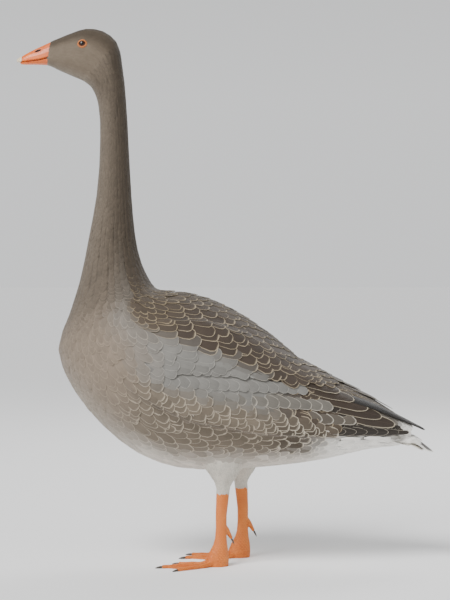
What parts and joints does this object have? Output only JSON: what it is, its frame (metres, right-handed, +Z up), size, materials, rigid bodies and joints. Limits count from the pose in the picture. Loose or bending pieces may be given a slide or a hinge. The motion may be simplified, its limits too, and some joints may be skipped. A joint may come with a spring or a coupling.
{
  "type": "domestic goose",
  "caption": "Life-size domestic goose standing alert in side view, long neck upright, wings folded, webbed feet flat on the floor.",
  "frame": {"origin": "on the floor, under the middle of the bird's own box", "axes": "+Z up, the bill points towards -X, the bird's left side is towards -Y"},
  "size_m": [0.6668, 0.256, 0.8525],
  "materials": {
    "plumage": "short overlapping body feathers, soft and matt",
    "wing_coverts": "broad pale-edged covert feathers, smooth and matt",
    "quills": "stiff dark flight and tail quills, faint sheen",
    "bill": "orange horn, satin",
    "bill_nail": "pale horn, satin",
    "leg_skin": "orange scaly skin, dry and slightly waxy",
    "claw": "dark horn, satin",
    "eye": "wet dark brown"
  },
  "bodies": {
    "root": {"head": "plumage", "neck_upper": "plumage", "neck_lower": "plumage", "trunk": "plumage", "rump": "plumage", "wing_left": "wing_coverts", "wingtip_left": "quills", "wing_right": "wing_coverts", "wingtip_right": "quills", "tail": "quills", "thigh_left": "plumage", "shank_left": "leg_skin", "foot_left": "leg_skin", "hind_toe_left": "leg_skin", "claw_left_inner": "claw", "claw_left_middle": "claw", "claw_left_outer": "claw", "claw_left_hind": "claw", "eye_left": "eye", "thigh_right": "plumage", "shank_right": "leg_skin", "foot_right": "leg_skin", "hind_toe_right": "leg_skin", "claw_right_inner": "claw", "claw_right_middle": "claw", "claw_right_outer": "claw", "claw_right_hind": "claw", "eye_right": "eye", "bill_upper": "bill", "bill_lower": "bill", "bill_nail": "bill_nail"}
  },
  "joints": []
}
